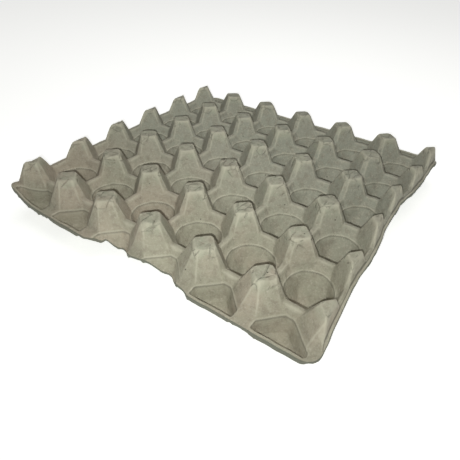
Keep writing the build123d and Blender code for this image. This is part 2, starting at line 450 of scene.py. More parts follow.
@dataclass(frozen=True)
class PlanPoints:
    """Plan points that follow the edges of the form, with even fill between them.

    Fill is the spacing of the fill points and line that along the edges of the form. Every size
    is in mm, except the shares of those two spacings.
    """

    sizes: TraySizes
    fill: float
    line: float

    # Radii of the rings on a cap, and their spacing.
    cap_rings: tuple[float, ...] = (2.0, 4.2, 6.0)
    cap_step: float = 2.0
    # Whole outlines of a post: their height below the cap, and how far outside its plan.
    post_outlines: tuple[tuple[float, float], ...] = (
        (0.0, -0.9), (0.0, -0.2), (0.0, 0.5), (0.0, 1.4), (6.5, 0.0), (9.5, 0.0), (12.5, 0.0), (14.9, 0.0))
    # Heights below the cap where only the broad faces are left.
    post_feet: tuple[float, ...] = (15.9, 18.0, 20.0, 21.4, 22.1)
    # Rings of a cell: some measured from the mouth, the rest from the axis.
    mouth_rings: tuple[float, ...] = (-0.1, 0.25, 0.65, -0.5, -1.3, -2.2, -3.1, -4.0, -4.9, -6.0)
    floor_rings: tuple[float, ...] = (9.9, 7.8, 5.4, 2.8)
    # Lines along a ridge, measured from its middle, and half their length.
    ridge_lines: tuple[float, ...] = (1.7, 2.15, 0.0, 3.2)
    ridge_reach: float = 9.4
    # Lines along an end ledge, measured from the post row, and half their length.
    ledge_lines: tuple[float, ...] = (1.7, 2.3, 3.4, 4.6, 5.2)
    ledge_reach: float = 10.5
    # Rings of a pocket, measured inward from its mouth.
    pocket_rings: tuple[float, ...] = (0.05, -0.3, 0.5, 1.8, 3.0, 3.8)
    pocket_narrowest: float = 0.6
    # Lines along a side rim, measured from the post column, and how far they run past it.
    side_lines: tuple[float, ...] = (0.5, 1.4, 2.2)
    side_reach: float = 20.0
    # The shortest face and the fewest points of a rounded corner that an outline keeps.
    shortest_face: float = 0.3
    fewest_arc: int = 4
    # Room that the points leave at a bowl's mouth, an end rim and the outline.
    mouth_room: float = 0.5
    end_room: float = 1.0
    line_room: float = 0.75
    fill_room: float = 0.9
    # Smallest spacings and a ring's spacing, as shares of the line spacing.
    line_share: float = 0.18
    fill_share: float = 0.72
    ring_share: float = 1.3
    # Height of an even triangle with sides of 1.
    row_share: float = 0.866
    # How far a point may pass a cell's edge, and how near two points are one.
    slack: float = 1e-6
    join: float = 1e-4

    def outline(self, step: float, inset: float) -> Array:
        """Points round the rounded outline, counter-clockwise.

        Args:
            step: Spacing along the outline, mm.
            inset: How far inside the outline the points lie, mm.

        Returns:
            Array of plan points.
        """
        s = self.sizes
        reach = (s.half_x + s.side_rim, s.half_y + s.end_rim)
        radius = s.rim_corner
        points = []
        arc = max(int(radius * math.pi / 2 / step), self.fewest_arc)
        for k, (sx, sy) in enumerate(((1, -1), (1, 1), (-1, 1), (-1, -1))):
            centre = np.array([sx * (reach[0] - radius), sy * (reach[1] - radius)])
            start = (k - 1) * math.pi / 2
            for n in range(arc):
                angle = start + (n / arc) * math.pi / 2
                points.append(centre + (radius - inset) * np.array([math.cos(angle), math.sin(angle)]))
            turn = start + math.pi / 2
            end = centre + (radius - inset) * np.array([math.cos(turn), math.sin(turn)])
            run = 2 * (reach[k % 2 == 0] - radius)
            along = np.array([-math.sin(turn), math.cos(turn)])
            count = int(run / step)
            points.extend(end + along * run * n / count for n in range(count))
        return np.array(points)

    def ring(self, radius: float, step: float) -> Array:
        """Points on a circle about the origin.

        Args:
            radius: Radius of the circle, mm.
            step: Spacing along the circle, mm.

        Returns:
            Array of plan points.
        """
        # A multiple of 8 gives the same points on every side of a cell.
        count = max(int(2 * math.pi * radius / step / 8) * 8, 1)
        angle = np.arange(count) * 2 * math.pi / count + math.pi / count
        return np.c_[radius * np.cos(angle), radius * np.sin(angle)]

    def run(self, start: tuple, end: tuple, step: float) -> Array:
        """Points along a straight line, both ends included.

        Args:
            start: First point, mm.
            end: Last point, mm.
            step: Largest spacing, mm.

        Returns:
            Array of plan points.
        """
        start = np.asarray(start, float)
        end = np.asarray(end, float)
        count = max(int(math.ceil(np.linalg.norm(end - start) / step)), 1)
        return start + (end - start) * np.linspace(0, 1, count + 1)[:, None]

    def octagon(self, drop: float, out: float, end: bool) -> list[tuple[float, float]]:
        """Corners of a post's plan at a drop.

        Args:
            drop: Height below the cap, mm.
            out: Extra distance outward, mm.
            end: True for the outward half of an end-row post.

        Returns:
            Corner points in the first quarter, from the X side to the Y side.
        """
        s = self.sizes
        broad_slope = s.end_broad_slope if end else s.broad_slope
        narrow_slope = s.end_narrow_slope if end else s.narrow_slope
        total = math.sqrt(2) * (s.cap_broad + broad_slope * drop + out)
        side_x = s.cap_narrow + s.narrow_slope * drop + out
        side_y = s.cap_narrow + narrow_slope * drop + out
        short_x = max(total - side_y, self.shortest_face)
        short_y = max(total - side_x, self.shortest_face)
        return [(side_x, short_y), (short_x, side_y)]

    def post_lines(self, end: bool) -> Array:
        """Points on one quarter of a post.

        Args:
            end: True for the outward half of an end-row post.

        Returns:
            Array of plan points with both coordinates positive.
        """
        pieces = [np.zeros((1, 2))] + [self.ring(radius, self.cap_step) for radius in self.cap_rings]
        for drop, out in self.post_outlines:
            a, b = self.octagon(drop, out, end)
            pieces.append(self.run((a[0], 0), a, self.line))
            pieces.append(self.run(a, b, self.line))
            pieces.append(self.run(b, (0, b[1]), self.line))
        for drop in self.post_feet:
            a, b = self.octagon(drop, 0.0, end)
            pieces.append(self.run(a, b, self.line))
        points = np.vstack(pieces)
        return points[(points >= -self.slack).all(axis=1)]

    def tile_lines(self) -> Array:
        """Points on the edges of one cell, about its centre.

        Returns:
            Array of plan points.
        """
        half = np.array([self.sizes.pitch_x / 2, self.sizes.pitch_y / 2])
        mouth = self.sizes.bowl_mouth
        reach = self.ridge_reach
        pieces = [np.zeros((1, 2))]
        for radius in [mouth + out for out in self.mouth_rings] + list(self.floor_rings):
            pieces.append(self.ring(radius, self.line * self.ring_share))
        near = []
        for off in self.ridge_lines:
            for sign in (-1, 1):
                x, y = sign * (half - off)
                near.append(self.run((x, -reach), (x, reach), self.line))
                near.append(self.run((-reach, y), (reach, y), self.line))
        quarter = self.post_lines(False)
        for sx in (-1, 1):
            for sy in (-1, 1):
                near.append((half - quarter) * (sx, sy))
        outer = np.vstack(near)
        inside = (np.abs(outer) <= half + self.slack).all(axis=1)
        clear = np.hypot(outer[:, 0], outer[:, 1]) > mouth + self.mouth_room
        pieces.append(outer[inside & clear])
        return np.vstack(pieces)

    def end_lines(self) -> Array:
        """Points on the edges of one end pocket and the end post feet beside it.

        Returns:
            Array of plan points, X about the pocket, Y outward from the end row.
        """
        s = self.sizes
        half = s.pitch_x / 2
        ledge = self.ledge_reach
        pieces = [self.run((-ledge, y), (ledge, y), self.line) for y in self.ledge_lines]
        quarter = self.post_lines(True)
        for sign in (-1, 1):
            pieces.append(np.c_[sign * (half - quarter[:, 0]), quarter[:, 1]])
        for inset in self.pocket_rings:
            x = s.pocket_half - inset
            near = s.pocket_near + inset
            far = s.pocket_far - inset
            foot = math.sqrt(2) * (s.pocket_foot + inset)
            side = min(x - half + foot, far - self.shortest_face)
            near_x = max(half - foot + near, self.pocket_narrowest)
            for sign in (-1, 1):
                pieces.append(self.run((0, near), (sign * near_x, near), self.line))
                pieces.append(self.run((sign * near_x, near), (sign * x, side), self.line))
                pieces.append(self.run((sign * x, side), (sign * x, far), self.line))
            pieces.append(self.run((-x, far), (x, far), self.line))
        points = np.vstack(pieces)
        x, y = points.T
        return points[(np.abs(x) <= half + self.slack) & (y > 0) & (y < s.end_rim - self.end_room)]

    def features(self) -> Array:
        """All points on edges of the form.

        Returns:
            Array of plan points, a few of them past the outline.
        """
        s = self.sizes
        pieces = []
        tile = self.tile_lines()
        for col in range(s.cells_x):
            for row in range(s.cells_y):
                centre = ((col + 0.5) * s.pitch_x - s.half_x, (row + 0.5) * s.pitch_y - s.half_y)
                pieces.append(tile + centre)
        end = self.end_lines()
        for col in range(s.cells_x):
            x = (col + 0.5) * s.pitch_x - s.half_x
            pieces.append(np.c_[end[:, 0] + x, -s.half_y - end[:, 1]])
            pieces.append(np.c_[end[:, 0] + x, s.half_y + end[:, 1]])
        reach = s.half_y + self.side_reach
        for sign in (-1, 1):
            for out in self.side_lines:
                x = sign * (s.half_x + out)
                pieces.append(self.run((x, -reach), (x, reach), self.line))
        return np.vstack(pieces)

    def thin(self, groups: list[tuple[Array, float]]) -> Array:
        """Drop points that lie too close to an earlier one.

        Args:
            groups: Point arrays, the most important first, each with its smallest spacing.

        Returns:
            The kept points.
        """
        size = max(reach for _, reach in groups)
        taken: dict[tuple[int, int], list[tuple[float, float]]] = {}
        kept = []
        for points, reach in groups:
            limit = reach * reach
            for x, y in points.tolist():
                i = int(math.floor(x / size))
                j = int(math.floor(y / size))
                near = (spot for a in (i - 1, i, i + 1) for b in (j - 1, j, j + 1)
                        for spot in taken.get((a, b), ()))
                if all((px - x) ** 2 + (py - y) ** 2 >= limit for px, py in near):
                    taken.setdefault((i, j), []).append((x, y))
                    kept.append((x, y))
        return np.array(kept)

    def lattice(self) -> Array:
        """Even triangular fill over the whole plan.

        Returns:
            Array of plan points.
        """
        s = self.sizes
        width = s.half_x + s.side_rim
        depth = s.half_y + s.end_rim
        rows = int(2 * depth / (self.fill * self.row_share))
        points = []
        for k in range(rows + 1):
            y = -depth + 2 * depth * k / rows
            shift = self.fill / 2 * (k % 2)
            x = np.arange(-width + shift, width, self.fill)
            points.append(np.c_[x, np.full_like(x, y)])
        return np.vstack(points)

    def inside(self, points: Array, margin: float) -> Array:
        """Keep points at least a margin inside the rounded outline.

        Args:
            points: Plan points.
            margin: Distance from the outline, mm.

        Returns:
            The kept points.
        """
        return points[edge_distance(self.sizes, points[:, 0], points[:, 1]) > margin]

    def build(self, border: Array) -> tuple[Array, Array]:
        """Triangulate the plan.

        Args:
            border: Outline points, which stay first in the result.

        Returns:
            Plan points and triangles.
        """
        features = self.inside(self.features(), self.line_room)
        lattice = self.inside(self.lattice(), self.fill_room)
        points = self.thin([(features, self.line * self.line_share), (lattice, self.line * self.fill_share)])
        every = np.vstack([border, points])
        result = delaunay_2d_cdt([Vector(p) for p in every.tolist()], [], [], 0, self.join)
        plan = np.array([tuple(v) for v in result[0]])
        faces = np.array([list(f) for f in result[2]])
        LOG.info("plan: %d points, %d triangles", len(plan), len(faces))
        return plan, faces


def edge_distance(sizes: TraySizes, x: Array, y: Array) -> Array:
    """Distance from plan positions to the rounded outline.

    Args:
        sizes: Sizes of the tray.
        x: Positions along X, mm.
        y: Positions along Y, mm.

    Returns:
        Distances inward from the outline, mm.
    """
    reach_x = sizes.half_x + sizes.side_rim - sizes.rim_corner
    reach_y = sizes.half_y + sizes.end_rim - sizes.rim_corner
    dx = np.abs(x) - reach_x
    dy = np.abs(y) - reach_y
    outside = np.hypot(np.maximum(dx, 0), np.maximum(dy, 0))
    return sizes.rim_corner - outside - np.minimum(np.maximum(dx, dy), 0)


# --------------------------------------------------------------------------
# The worn sheet
# --------------------------------------------------------------------------
class Mark(str, Enum):
    """Names of the surface marks carried by the sheet's points."""

    RUB = "rub"
    HOLLOW = "hollow"
    RIM = "rim"
    UNDER = "under"
    MOUTH = "mouth"
    EDGE = "edge"
    SIDE = "side"


@dataclass(frozen=True)
class Dent:
    """A push on the soft tray about one place, mm."""

    x: float
    y: float
    reach_x: float
    reach_y: float
    move: tuple[float, float, float]


@dataclass(frozen=True)
class Wear:
    """How the tray has warped, torn and frayed, mm.

    The bows and the twist are height changes at the ends of the tray, and the rests are the
    shares of a half span, squared, where a bow leaves the height as it was. The side pull
    gives, along the +X rim, how far it is pressed in. The tear gives, along the -Y rim, how far
    the sheet still reaches past the end row of posts.
    """

    # Warp of the whole tray, and the lean and lift of single posts.
    bow_x: float = -0.7
    rest_x: float = 0.33
    bow_y: float = -2.3
    rest_y: float = 0.22
    twist: float = 1.0
    lean: float = 0.8
    lift: float = 0.3
    # Uneven surface: how far it moves, and the noise that moves it.
    lump: float = 0.2
    lumps: Ripple = Ripple(-80.0, 55.0, 26.0, 2)
    grain: float = 0.16
    grains: Ripple = Ripple(0.0, 0.0, 5.0, 2)
    crumple: float = 0.75
    crumples: Ripple = Ripple(50.0, 0.0, 5.5, 2)
    wander: float = 0.4
    wander_x: Ripple = Ripple(0.0, 0.0, 14.0, 2)
    wander_y: Ripple = Ripple(400.0, -300.0, 14.0, 2)
    # Frayed edges of the tear and of the turned-down rim.
    tear_fray: float = 0.35
    tear_frays: Ripple = Ripple(0.0, 40.0, 4.0, 3)
    skirt: float = 2.9
    skirt_fray: float = 1.9
    skirt_frays: Ripple = Ripple(9.0, 0.0, 4.5, 3)
    skirt_sways: Ripple = Ripple(0.0, 0.0, 31.0, 2)
    flare: float = 0.3
    flares: Ripple = Ripple(-7.0, 3.0, 11.0, 2)
    # Pushed-in and torn stretches.
    dents: tuple[Dent, ...] = (
        Dent(-147.0, -154.0, 40.0, 34.0, (1.2, 2.0, 9.0)),
        Dent(144.0, -149.0, 30.0, 30.0, (0.6, 1.0, -0.9)),
        Dent(-144.0, 120.0, 22.0, 22.0, (0.6, 0.0, 1.2)),
        Dent(-110.0, -149.0, 24.0, 20.0, (0.0, 0.6, -0.5)),
    )
    side_pull: tuple[tuple[float, float], ...] = (
        (-149, -0.6), (-132, -0.8), (-115, 0.6), (-84, 2.6), (-60, 2.2), (-42, 2.4), (-25, 3.5),
        (-13, 5.3), (10, 6.0), (30, 5.7), (43, 4.6), (55, 2.2), (75, 1.0), (100, 0.0), (149, 0.0),
    )
    tear: tuple[tuple[float, float], ...] = (
        (-45, 28.0), (-41, 26.4), (-39, 19.6), (-36, 16.4), (-31, 13.0), (-26, 10.0), (-24, 10.2),
        (-20, 12.2), (-14, 15.4), (-9, 18.8), (-6, 21.8), (-3, 22.8), (6, 20.4), (8, 18.2), (14, 14.4),
        (19, 11.2), (22, 9.8), (25, 9.8), (29, 13.4), (33, 16.0), (38, 19.4), (40, 22.8), (42, 24.2),
        (48, 25.4), (54, 28.0),
    )


@dataclass(frozen=True)
class TraySheet:
    """The moulded sheet as one closed mesh with its turned-down rim.

    Fine is the point spacing of the upper face and coarse that of the underside. Every size is
    in mm, and a pair is the two ends of an eased span unless its comment says otherwise.
    """

    sizes: TraySizes
    wear: Wear
    fine: float
    coarse: float
    wide_noise: LumpNoise = field(default_factory=lambda: LumpNoise(11))
    fine_noise: LumpNoise = field(default_factory=lambda: LumpNoise(29))

    # Past the end posts, the sheet is whole up to here, and this share of the rest always stays.
    tear_start: float = 6.4
    tear_least: float = 0.05
    # Height of the torn face, and how far the underside may fall per mm inward from it.
    torn_face: float = 2.6
    torn_fall: float = 1.2
    # Above these shares the rim counts as whole, for the skirt and for the torn face.
    skirt_whole: float = 0.9
    face_whole: float = 0.97
    # Room that keeps the torn face's limit off the whole rim.
    whole_room: float = 40.0
    # Keeps the sunk bowls above the table.
    lift: float = 0.2

    # The ball that sets the underside: rings at shares of the sheet, and their points.
    ball_rings: tuple[tuple[float, int], ...] = ((0.45, 6), (0.8, 10), (0.95, 12))
    # Rows of the skirt: share of its depth, and how far outside the outline.
    skirt_outside: tuple[tuple[float, float], ...] = (
        (0.05, 0.36), (0.25, 0.56), (0.7, 0.55), (0.96, 0.35), (1.0, -0.1))
    skirt_inside: tuple[float, float] = (0.92, 0.5)
    skirt_sheet: float = 0.72
    skirt_overlap: float = 0.15
    skirt_gap: float = 0.05
    # Strengths of the skirt's fine fray and slow sway, and of both along the sides.
    fray_share: float = 1.1
    sway_share: float = 0.6
    side_share: float = 0.5
    # How far in the outline lies, and its underside as a share of the sheet. Then the band over
    # which the underside is drawn in, and how far from the outline its points still follow.
    outline_inset: float = 0.55
    under_inset: float = 0.8
    under_band: float = 4.0
    under_reach: float = 2.6
    # Spacings as shares of the upper and lower face's own.
    outline_share: float = 0.9
    upper_fill: float = 1.3
    under_fill: float = 1.12

    # Distances from a post's axis over which its own lean fades.
    post_hold: tuple[float, float] = (9.0, 20.0)
    # Heights over which lumps, dents and leans come in, and those of the crushed caps.
    lump_heights: tuple[float, float] = (2.5, 14.0)
    free_heights: tuple[float, float] = (3.0, 22.0)
    lean_heights: tuple[float, float] = (20.0, 46.0)
    crush_heights: tuple[float, float] = (36.0, 42.5)
    # Crushed caps: their mean and random strength, that of the -Y end row and of the others, and
    # the share of the folds that stands for no change.
    crush_base: tuple[float, float] = (0.55, 0.45)
    crush_rows: tuple[float, float] = (1.6, 0.8)
    crush_middle: float = 0.35
    # Share of the crush on a cap's far side, and where its near side begins and is full.
    crush_far: float = 0.35
    crush_near: tuple[float, float] = (-3.0, 5.0)
    # How much slower the folds repeat across the tray, and how they slant.
    fold_stretch: float = 1.3
    fold_slant: float = 0.6
    # Share of the fine lumps that the resting bowls keep.
    grain_least: float = 0.4
    # Shares of a dent's reach over which it fades, and where the side pull begins and is full.
    dent_fade: tuple[float, float] = (0.12, 1.0)
    pull_reach: tuple[float, float] = (108.0, 141.0)
    # Missing rim over which the tear's fray comes in.
    fray_ease: tuple[float, float] = (0.0, 3.0)
    # Outward direction along X that counts as a side.
    side_facing: float = 0.8

    # Rings for the marks, and the height differences that give a full mark.
    rub_ring: float = 1.1
    rub_full: float = 0.8
    hollow_ring: float = 4.0
    hollow_full: float = 6.0
    ring_points: int = 8
    # How much further out the side strip runs past the end rows, and where it gets there.
    end_strip: float = 4.0
    end_strip_band: tuple[float, float] = (12.0, 22.0)

    @property
    def form(self) -> TrayForm:
        """The tray's form before any wear."""
        return TrayForm(self.sizes)

    def nearest_post(self, x: Array, y: Array) -> tuple[Array, Array, Array, Array]:
        """Find the nearest post.

        Args:
            x: Plan positions along X.
            y: Plan positions along Y.

        Returns:
            Column and row of the post, and the distances from its axis along X and Y.
        """
        s = self.sizes
        col = np.clip(np.round((x + s.half_x) / s.pitch_x), 0, s.cells_x).astype(int)
        row = np.clip(np.round((y + s.half_y) / s.pitch_y), 0, s.cells_y).astype(int)
        return col, row, x - (col * s.pitch_x - s.half_x), y - (row * s.pitch_y - s.half_y)

    def post_shift(self, x: Array, y: Array) -> tuple[Array, Array, Array]:
        """Small lean and lift of each post, different for every post.

        Args:
            x: Plan positions along X.
            y: Plan positions along Y.

        Returns:
            Shifts along X, Y and Z.
        """
        col, row, dx, dy = self.nearest_post(x, y)
        hold = 1 - smooth_step(np.hypot(dx, dy), *self.post_hold)
        # Strides without a common factor give every post values of its own.
        picks = [self.fine_noise.pick(col * 7 + k, row * 13 + 5 * k) for k in range(3)]
        lean = self.wear.lean
        return hold * picks[0] * lean, hold * picks[1] * lean, hold * picks[2] * self.wear.lift

    def crumples(self, x: Array, y: Array, z: Array) -> Array:
        """Creased, pushed-in cap shoulders, deepest on the -Y end posts.

        Args:
            x: Plan positions along X.
            y: Plan positions along Y.
            z: Heights of the smooth surface.

        Returns:
            Height changes.
        """
        col, row, _, dy = self.nearest_post(x, y)
        pick = self.wide_noise.pick(col * 5 + 3, row * 11 + 7)
        base, varied = self.crush_base
        strength = self.wear.crumple * (base + varied * pick) * np.where(row == 0, *self.crush_rows)
        folds = self.fine_noise.stack(x * self.fold_stretch, y + self.fold_slant * x, self.wear.crumples)
        ridged = np.abs(folds) - self.crush_middle
        facing = self.crush_far + (1 - self.crush_far) * smooth_step(-dy, *self.crush_near)
        return strength * (smooth_step(z, *self.crush_heights) * facing) * ridged

    def survey(self, x: Array, y: Array) -> Survey:
        """Worn upper face.

        Args:
            x: Plan positions along X.
            y: Plan positions along Y.

        Returns:
            Heights above the resting plane with the distances that mark it.
        """
        w = self.wear
        found = self.form.survey(x, y)
        z = found.height
        loose = smooth_step(z, *self.lump_heights)
        z = z + loose * w.lump * self.wide_noise.stack(x, y, w.lumps)
        fine = self.grain_least + (1 - self.grain_least) * loose
        z = z + fine * w.grain * self.fine_noise.stack(x, y, w.grains)
        z = z + self.crumples(x, y, z)
        return Survey(z, found.mouth, found.edge)

    def upper(self, x: Array, y: Array) -> Array:
        """Worn upper face height above the resting plane."""
        return self.survey(x, y).height

    def lower(self, x: Array, y: Array) -> Array:
        """Underside height, one sheet thickness from the upper face.

        Args:
            x: Plan positions along X.
            y: Plan positions along Y.

        Returns:
            Heights above the resting plane.
        """
        t = self.sizes.sheet
        low = self.upper(x, y) - t
        for share, count in self.ball_rings:
            drop = t * math.sqrt(1 - share * share)
            for k in range(count):
                angle = 2 * math.pi * (k + share) / count
                near = self.upper(x + share * t * math.cos(angle), y + share * t * math.sin(angle))
                low = np.minimum(low, near - drop)
        return low

    def settle(self, points: Array) -> Array:
        """Warp the whole tray the way a used one sags, its bowls staying on the table.

        Args:
            points: Positions, mm.

        Returns:
            Moved positions, mm.
        """
        s = self.sizes
        w = self.wear
        x, y, z = points.T
        u = x / s.half_x
        v = y / s.half_y
        share = np.maximum(z / s.post_top, 0)
        sag = w.bow_x * (u * u - w.rest_x) + w.twist * u * v + w.bow_y * (v * v - w.rest_y)
        moved = points.copy()
        moved[:, 2] += sag * share
        high = smooth_step(z, *self.lean_heights)
        for axis, shift in enumerate(self.post_shift(x, y)):
            moved[:, axis] += shift * high
        free = smooth_step(z, *self.free_heights)
        moved[:, 0] += w.wander * self.wide_noise.stack(x, y, w.wander_x)
        moved[:, 1] += w.wander * self.wide_noise.stack(x, y, w.wander_y)
        for dent in w.dents:
            away = np.hypot((x - dent.x) / dent.reach_x, (y - dent.y) / dent.reach_y)
            hold = (1 - smooth_step(away, *self.dent_fade)) * free
            for axis in range(3):
                moved[:, axis] += dent.move[axis] * hold
        places, pulls = np.array(w.side_pull).T
        moved[:, 0] -= np.interp(y, places, pulls) * smooth_step(x, *self.pull_reach) * free
        return moved

    def tear_share(self, x: Array) -> Array:
        """Find how much of the -Y rim is left, from 1 where it is whole.

        Args:
            x: Plan positions along X.

        Returns:
            Shares between 0 and 1.
        """
        s = self.sizes
        places, reaches = np.array(self.wear.tear).T
        reach = np.interp(x, places, reaches)
        fray = self.wear.tear_fray * self.fine_noise.stack(x, np.zeros_like(x), self.wear.tear_frays)
        reach = reach + fray * smooth_step(s.end_rim - reach, *self.fray_ease)
        return np.clip((reach - self.tear_start) / (s.end_rim - self.tear_start), self.tear_least, 1.0)

    def torn(self, plan: Array) -> Array:
        """Draw the plan in where the rim is torn away.

        Args:
            plan: Plan points of the whole tray.

        Returns:
            Plan points of the torn one.
        """
        out = -plan[:, 1] - self.sizes.half_y - self.tear_start
        lost = np.maximum(out, 0.0) * (1 - self.tear_share(plan[:, 0]))
        return np.c_[plan[:, 0], plan[:, 1] + lost]

    def thinned(self, plan: Array, low_z: Array) -> Array:
        """Raise the underside near the tear, so that no steep wall hangs from it.

        Args:
            plan: Plan points of the underside.
            low_z: Underside heights at them.

        Returns:
            Underside heights.
        """
        s = self.sizes
        share = self.tear_share(plan[:, 0])
        line = s.half_y + self.tear_start + share * (s.end_rim - self.tear_start)
        inside = np.maximum(plan[:, 1] + line, 0.0) + self.whole_room * (share > self.face_whole)
        limit = self.upper(plan[:, 0], plan[:, 1]) - self.torn_face - self.torn_fall * inside
        return np.maximum(low_z, limit)

    def skirt_rows(self, border: Array, outward: Array, share_left: Array, upper_z: Array,
                   lower_z: Array) -> list[Array]:
        """Rows of points down the outside of the frayed rim and up its inside.

        Args:
            border: Outline points.
            outward: Unit outward directions at them.
            share_left: How much of the rim is left at them.
            upper_z: Upper face heights at the outline.
            lower_z: Lower face heights just inside it.

        Returns:
            List of point rows, from the top outside to the bottom inside.
        """
        w = self.wear
        t = self.sizes.sheet
        x, y = border.T
        fray = self.fine_noise.stack(x, y, w.skirt_frays) * self.fray_share
        fray = fray + self.wide_noise.stack(x, y, w.skirt_sways) * self.sway_share
        side = np.abs(outward[:, 0]) > self.side_facing
        depth = w.skirt + w.skirt_fray * fray * np.where(side, self.side_share, 1.0)
        depth = np.where(share_left < self.skirt_whole, t, depth)
        depth = np.maximum(depth, upper_z - lower_z + self.skirt_overlap)
        flare = w.flare * self.wide_noise.stack(x, y, w.flares)
        rows = []
        for share, out in self.skirt_outside:
            push = (out + flare * share) * share_left
            rows.append(np.c_[border + outward * push[:, None], upper_z - depth * share])
        inner = border - outward * (t * self.skirt_sheet * share_left)[:, None]
        for share in self.skirt_inside:
            z = np.minimum(upper_z - t + (t - depth) * share, lower_z - self.skirt_gap)
            rows.append(np.c_[inner, z])
        return rows

    def under_plan(self, wall: Array, border: Array, outward: Array,
                   share_left: Array) -> tuple[Array, Array]:
        """Plan of the lower face, drawn in from the rim by the sheet.

        Args:
            wall: Outline points before the tear.
            border: Outline points.
            outward: Unit outward directions at them.
            share_left: How much of the rim is left at them.

        Returns:
            Plan points and triangles.
        """
        inset = self.sizes.sheet * self.under_inset
        plan, faces = PlanPoints(self.sizes, self.coarse * self.under_fill, self.coarse).build(wall)
        near = edge_distance(self.sizes, plan[:, 0], plan[:, 1])
        pull = np.clip(1 - (near - self.outline_inset) / self.under_band, 0, 1) * (near < self.under_reach)
        inward = -plan / np.maximum(np.abs(plan).max(axis=1), 1)[:, None]
        drawn = self.torn(plan + inward * pull[:, None] * inset)
        drawn[:len(wall)] = border - outward * (inset * share_left)[:, None]
        return drawn, faces

    def build(self, name: str) -> bpy.types.Object:
        """Make the mesh object.

        Args:
            name: Object name.

        Returns:
            The new object, with its surface marks as attributes.
        """
        s = self.sizes
        fine = PlanPoints(s, self.fine * self.upper_fill, self.fine)
        wall = fine.outline(self.fine * self.outline_share, self.outline_inset)
        plan, faces = fine.build(wall)
        plan = self.torn(plan)
        count = len(wall)
        border = plan[:count]
        around = np.roll(border, -1, axis=0) - np.roll(border, 1, axis=0)
        around /= np.linalg.norm(around, axis=1)[:, None]
        outward = np.c_[around[:, 1], -around[:, 0]]
        past = border[:, 1] < -s.half_y - self.tear_start
        share_left = np.where(past, self.tear_share(border[:, 0]), 1.0)
        top_z = self.upper(plan[:, 0], plan[:, 1])
        low_xy, low_faces = self.under_plan(wall, border, outward, share_left)
        low_z = self.thinned(low_xy, self.lower(low_xy[:, 0], low_xy[:, 1]))
        rows = self.skirt_rows(border, outward, share_left, top_z[:count], low_z[:count])
        blocks = [np.c_[plan, top_z]] + rows + [np.c_[low_xy, low_z]]
        starts = np.cumsum([0] + [len(b) for b in blocks])
        points = np.vstack(blocks)
        ring = np.arange(count)
        after = (ring + 1) % count
        quads = [np.c_[a + ring, b + ring, b + after, a + after] for a, b in zip(starts[:-2], starts[1:-1])]
        lower_faces = low_faces[:, ::-1] + starts[-2]
        attributes = self.marks_on(points, starts[1], starts[-2])
        points = self.settle(points)
        points[:, 2] += self.lift
        return self.to_object(name, points, [faces, lower_faces], quads, attributes)

    def ring_mean(self, x: Array, y: Array, radius: float) -> Array:
        """Mean height of the upper face on a small ring round each place.

        Args:
            x: Plan positions along X.
            y: Plan positions along Y.
            radius: Radius of the ring, mm.

        Returns:
            Mean heights.
        """
        count = self.ring_points
        angles = np.arange(count) * 2 * math.pi / count
        heights = (self.upper(x + radius * math.cos(a), y + radius * math.sin(a)) for a in angles)
        return sum(heights) / count

    def marks_on(self, points: Array, upper_count: int, lower_start: int) -> dict[Mark, Array]:
        """Find where the surface is raised, hollow, folded or at the rim, for the wear, painted highlight
        and painted shade drawn there.

        Args:
            points: All positions before the warp, mm.
            upper_count: Number of upper face points, which come first.
            lower_start: Index of the first lower face point.

        Returns:
            Dictionary of one value per point.
        """
        x = points[:, 0]
        y = points[:, 1]
        here = self.survey(x, y)
        tight = self.ring_mean(x, y, self.rub_ring)
        wide = self.ring_mean(x, y, self.hollow_ring)
        low, high = self.end_strip_band
        past_end = smooth_step(np.abs(y), self.sizes.half_y + low, self.sizes.half_y + high)
        side = np.abs(x) - self.sizes.half_x - self.end_strip * past_end
        index = np.arange(len(points))
        top = index < upper_count
        under = index >= lower_start
        return {
            Mark.RUB: np.where(top, np.clip((here.height - tight) / self.rub_full, -1, 1), 0.0),
            Mark.HOLLOW: np.clip((wide - here.height) / self.hollow_full, -1, 1),
            Mark.RIM: (~top & ~under).astype(float),
            Mark.UNDER: under.astype(float),
            Mark.MOUTH: np.where(top, here.mouth, -self.form.clear),
            Mark.EDGE: np.where(top, here.edge, self.form.clear),
            Mark.SIDE: np.where(top, side, -self.form.clear),
        }

    def to_object(self, name: str, points: Array, triangles: list[Array], quads: list[Array],
                  attributes: dict[Mark, Array]) -> bpy.types.Object:
        """Write points and faces into a mesh object.

        Args:
            name: Object name.
            points: Positions, mm.
            triangles: List of triangle index arrays.
            quads: List of four-corner index arrays.
            attributes: Values per point by name.

        Returns:
            The new object.
        """
        mesh = bpy.data.meshes.new(name)
        polygons = np.vstack(triangles).tolist() + np.vstack(quads).tolist()
        mesh.from_pydata((points * MM).tolist(), [], polygons)
        mesh.validate()
        mesh.update()
        mesh.shade_smooth()
        for key, values in attributes.items():
            layer = mesh.attributes.new(key.value, "FLOAT", "POINT")
            layer.data.foreach_set("value", np.asarray(values, dtype=np.float32))
        piece = bpy.data.objects.new(name, mesh)
        bpy.context.scene.collection.objects.link(piece)
        count = sum(len(p) - 2 for p in polygons)
        LOG.info("%s: %d points, %d triangles", name, len(points), count)
        return piece


# --------------------------------------------------------------------------
# Finish
# --------------------------------------------------------------------------
def linear(hex_colour: str) -> tuple[float, float, float, float]:
    """Turn an sRGB hex colour into a linear one.

    Args:
        hex_colour: Six hex digits with a leading hash.

    Returns:
        Linear red, green, blue and 1.
    """
    parts = [int(hex_colour[k:k + 2], 16) / 255 for k in (1, 3, 5)]
    parts = [c / 12.92 if c <= 0.04045 else ((c + 0.055) / 1.055) ** 2.4 for c in parts]
    return (parts[0], parts[1], parts[2], 1.0)


def per_metre(size_mm: float) -> float:
    """Noise scale whose features measure size_mm on the object."""
    return 1 / (size_mm * MM)


